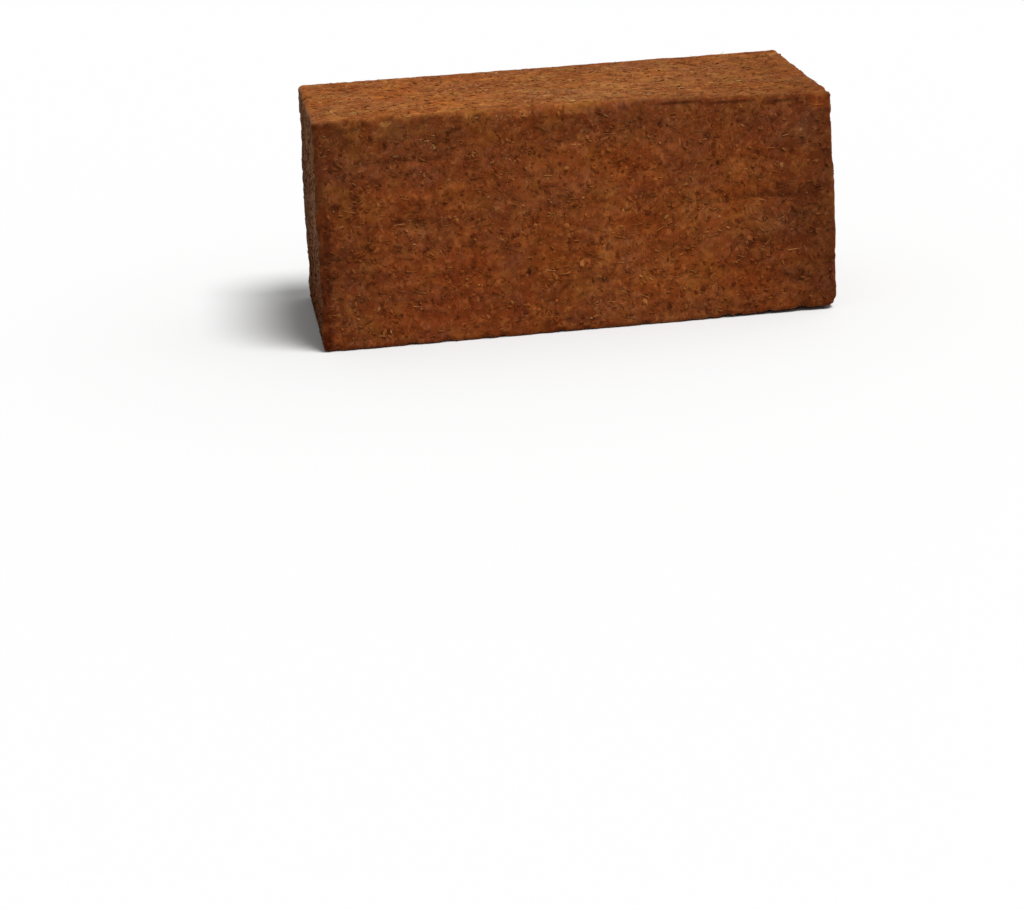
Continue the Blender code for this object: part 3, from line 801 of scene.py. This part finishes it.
def pressed_pith():
    """Dry coir pith, pressed in a mould: a dull red-brown felt of grains and shreds, with painted shade in
    its pores and seams and a painted highlight along its upper edges, and paler on top, where it has dried
    out and where light is painted in."""
    material, tree, shader, seen = new_material("pressed_coir_pith", SKIN_ROUGHNESS)
    place = seen["Object"]
    broad = add(tree, "ShaderNodeTexNoise", {"Vector": place, "Scale": 1 / BROAD_SIZE, "Detail": 3.0})
    colour = add(tree, "ShaderNodeValToRGB", (broad,), stops=PITH_STOPS)
    hue = add(tree, "ShaderNodeTexNoise",
              {"Vector": place, "Scale": 1 / HUE_SIZE, "Detail": 2.0, "W": HUE_START},
              noise_dimensions="4D")
    mottle = add(tree, "ShaderNodeTexNoise",
                 {"Vector": place, "Scale": 1 / MOTTLE_SIZE, "Detail": 1.5, "Distortion": 0.4}, out=None)
    parts = add(tree, "ShaderNodeSeparateColor", (mottle["Color"],), out=None)
    layers = tone_layers(tree, UNDER_TONES, {"hue": hue, "red": parts["Red"], "green": parts["Green"],
                                             "blue": parts["Blue"]})
    shreds, felt = felt_layers(tree, place)
    layers.extend(shreds)
    fine = add(tree, "ShaderNodeTexNoise", {"Vector": place, "Scale": 1 / FINE_SIZE, "Detail": 3.0})
    relief = add(tree, "ShaderNodeAttribute", out="Fac", attribute_name="relief")
    rise = add(tree, "ShaderNodeAttribute", out="Fac", attribute_name="rise")
    # A painted highlight on edges that face up
    low, high = HIGHLIT_BROW_FACING
    upper = add(tree, "ShaderNodeMapRange", {"Value": facing_parts(tree)["Z"], "From Min": low,
                                             "From Max": high})
    highlit_brow = add(tree, "ShaderNodeMath", (rise, upper), operation="MULTIPLY")
    layers.extend(tone_layers(tree, OVER_TONES, {"fine": fine, "relief": relief, "rise": rise,
                                                 "highlit_brow": highlit_brow}))
    layers.extend(broad_shifts(tree, place))
    tree.links.new(layered(tree, colour, layers), shader.inputs["Base Color"])
    raised = add(tree, "ShaderNodeMath", (felt, fine), operation="ADD")
    bump = add(tree, "ShaderNodeBump", {"Height": raised, "Strength": BUMP_STRENGTH,
                                        "Distance": BUMP_DEPTH})
    tree.links.new(bump, shader.inputs["Normal"])
    return material


def tinted_material(name, stops):
    """A dry material whose pieces each take one tint of a range, blotched a little, and shift in
    shade with the skin that they lie on."""
    material, tree, shader, seen = new_material(name, LOOSE_ROUGHNESS)
    tint = add(tree, "ShaderNodeAttribute", out="Fac", attribute_name="tint")
    colour = add(tree, "ShaderNodeValToRGB", (tint,), stops=stops)
    blotch = add(tree, "ShaderNodeTexNoise", {"Vector": seen["Object"], "Scale": 1 / BLOTCH_SIZE,
                                              "Detail": 2.0})
    least, most = BLOTCH_GAINS
    shade = add(tree, "ShaderNodeMapRange", {"Value": blotch, "From Min": 0.3, "From Max": 0.7,
                                             "To Min": least, "To Max": most})
    layers = [(1.0, shade, "MULTIPLY"), *broad_shifts(tree, seen["Object"])]
    tree.links.new(layered(tree, colour, layers), shader.inputs["Base Color"])
    return material


def stage_and_lights():
    """A floor of uncoated paper, matt and pale, a surround brighter overhead, and a soft key light."""
    floor_mesh = bpy.data.meshes.new("floor")
    work = bmesh.new()
    bmesh.ops.create_grid(work, x_segments=1, y_segments=1, size=FLOOR_REACH)
    work.to_mesh(floor_mesh)
    work.free()
    floor = bpy.data.objects.new("floor", floor_mesh)
    floor.location.z = -FLOOR_GAP
    bpy.context.scene.collection.objects.link(floor)
    paper = bpy.data.materials.new("pale_paper")
    paper.use_nodes = True
    shader = paper.node_tree.nodes["Principled BSDF"]
    shader.inputs["Base Color"].default_value = linear(FLOOR_COLOUR)
    shader.inputs["Roughness"].default_value = FLOOR_ROUGHNESS
    shader.inputs["Specular IOR Level"].default_value = 0.0
    floor_mesh.materials.append(paper)

    world = bpy.data.worlds.new("studio_surround")
    bpy.context.scene.world = world
    world.use_nodes = True
    tree = world.node_tree
    way = add(tree, "ShaderNodeSeparateXYZ", (add(tree, "ShaderNodeTexCoord", out="Generated"),), out=None)
    height = add(tree, "ShaderNodeMapRange", {"Value": way["Z"], "To Min": SKY_LOW, "To Max": SKY_HIGH})
    side = add(tree, "ShaderNodeMapRange", {"Value": way["X"], "From Min": -1.0, "To Min": SKY_LEFT,
                                            "To Max": SKY_RIGHT})
    strength = add(tree, "ShaderNodeMath", (height, side), operation="MULTIPLY")
    tree.links.new(strength, tree.nodes["Background"].inputs["Strength"])
    tree.nodes["Background"].inputs["Color"].default_value = (1.0, 1.0, 1.0, 1.0)

    key_data = bpy.data.lights.new("key", "SUN")
    key_data.energy = KEY_STRENGTH
    key_data.angle = KEY_WIDTH
    key = bpy.data.objects.new("key", key_data)
    bpy.context.scene.collection.objects.link(key)
    way_in = Vector((math.cos(KEY_RISE) * math.sin(KEY_TURN), -math.cos(KEY_RISE) * math.cos(KEY_TURN),
                     math.sin(KEY_RISE)))
    key.location = way_in
    key.rotation_euler = way_in.to_track_quat("Z", "Y").to_euler()
    bpy.context.scene.view_settings.view_transform = "Standard"


def camera():
    """The photo's own view of the block."""
    data = bpy.data.cameras.new("camera")
    data.sensor_fit = "HORIZONTAL"
    data.sensor_width = SENSOR_MM
    data.lens = FOCAL_PX * SENSOR_MM / PICTURE_PX
    seen = bpy.data.objects.new("camera", data)
    bpy.context.scene.collection.objects.link(seen)
    turned = Matrix.Rotation(CAMERA_TURN, 4, "Z") @ Matrix.Rotation(math.pi / 2 - CAMERA_PITCH, 4, "X")
    seen.matrix_world = Matrix.Translation(CAMERA_PLACE) @ turned @ Matrix.Rotation(-CAMERA_ROLL, 4, "Z")
    bpy.context.scene.camera = seen


def on_block(piece):
    """Fastens a finished piece to the bale's one body."""
    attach(piece, "root")


camera()
stage_and_lights()
surface = block_surface()
skin = grown("pressed_block", skin_tree(pressed_pith()), SKIN_SIZES, surface)
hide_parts(BLOCK)
on_block(skin)

# Coir pith, the husk's spongy cork, ground and dried: matt, torn crumbs of dull red-brown, of
# which a few are paler
pith_crumb = tinted_material("loose_pith_crumb", CRUMB_STOPS)
crumb_tree = grain_tree("crumbs", CRUMB_SIZES, pith_crumb, CRUMB_SEED, flatness=0.24, lying=0.05)
crumbs = grown("pith_crumbs", crumb_tree, CRUMB_SIZES, surface)
on_block(crumbs)

# Coir fibre, torn out of the husk and chopped short: matt, thin and brown, here and there
# straw-coloured, and flat where the press laid it
husk_fibre = tinted_material("husk_fibre", FIBRE_STOPS)
fibre_tree = pressed_strand_tree("fibres", FIBRE_SIZES, husk_fibre, FIBRE_SEED, FIBRE_POINTS)
fibres = grown("pressed_fibres", fibre_tree, FIBRE_SIZES, surface)
on_block(fibres)
shred_tree = pressed_strand_tree("shreds", SHRED_SIZES, husk_fibre, SHRED_SEED, SHRED_POINTS)
shreds = grown("pressed_shreds", shred_tree, SHRED_SIZES, surface)
on_block(shreds)

# Coir fibre bleached by drying: light beige streaks in the red-brown, coarser than one fibre is
# so that they show
pale_strand = tinted_material("pale_husk_strand", PALE_STOPS)
strand_tree = pressed_strand_tree("strands", PALE_SIZES, pale_strand, PALE_SEED, FIBRE_POINTS)
strands = grown("pale_strands", strand_tree, PALE_SIZES, surface)
on_block(strands)
end_tree = loose_end_tree("loose_ends", END_SIZES, husk_fibre, END_SEED, END_POINTS)
ends = grown("loose_fibre_ends", end_tree, END_SIZES, skin.data)
on_block(ends)

# Flakes of dry husk, broken off by the mill: flat, matt and straw-brown, among the palest things
# on the block
pale_husk = tinted_material("pale_husk_flake", FLAKE_STOPS)
fleck_tree = grain_tree("flecks", FLECK_SIZES, pale_husk, FLECK_SEED, flatness=0.16, lying=0.02)
flecks = grown("husk_flecks", fleck_tree, FLECK_SIZES, skin.data)
on_block(flecks)
